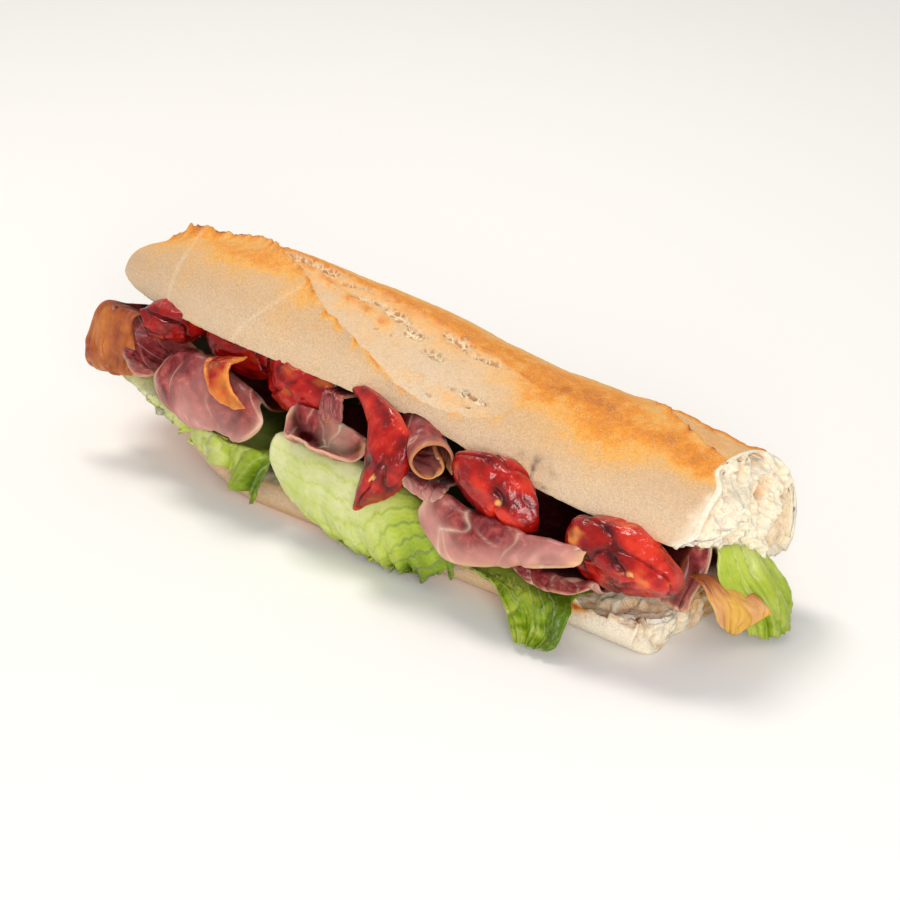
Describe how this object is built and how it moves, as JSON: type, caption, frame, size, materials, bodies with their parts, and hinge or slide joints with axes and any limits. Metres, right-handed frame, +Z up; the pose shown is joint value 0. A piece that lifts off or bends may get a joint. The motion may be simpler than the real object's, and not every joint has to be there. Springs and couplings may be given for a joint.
{
  "type": "submarine sandwich",
  "caption": "Long crusty baguette sandwich gaping to the front, filled with lettuce leaves, folded cured ham and soft roasted tomato, one end pointed and the other torn.",
  "frame": {"origin": "on the flat underside of the lower half of the loaf, under the middle of its length and width", "axes": "+X along the loaf from its pointed end to its torn end, +Y from the open side with the filling to the back, +Z up from the face it rests on"},
  "size_m": [0.2762, 0.084, 0.0761],
  "materials": {
    "bread": "matte baked crust and crumb",
    "ham": "moist cured ham",
    "lettuce": "fresh leaf",
    "tomato": "wet roasted tomato"
  },
  "bodies": {
    "root": {"bread_top": "bread", "bread_bottom": "bread", "ham_tip": "ham", "ham_band": "ham", "ham_drape": "ham", "ham_petal": "ham", "ham_fold": "ham", "ham_tube": "ham", "ham_point": "ham", "ham_wide": "ham", "ham_under": "ham", "ham_end": "ham", "ham_tan": "ham", "lettuce_left": "lettuce", "lettuce_middle": "lettuce", "lettuce_front": "lettuce", "lettuce_end": "lettuce", "tomato_tip": "tomato", "tomato_dark": "tomato", "tomato_red": "tomato", "tomato_skin": "tomato", "tomato_long": "tomato", "tomato_bright": "tomato", "tomato_torn": "tomato"}
  },
  "joints": []
}
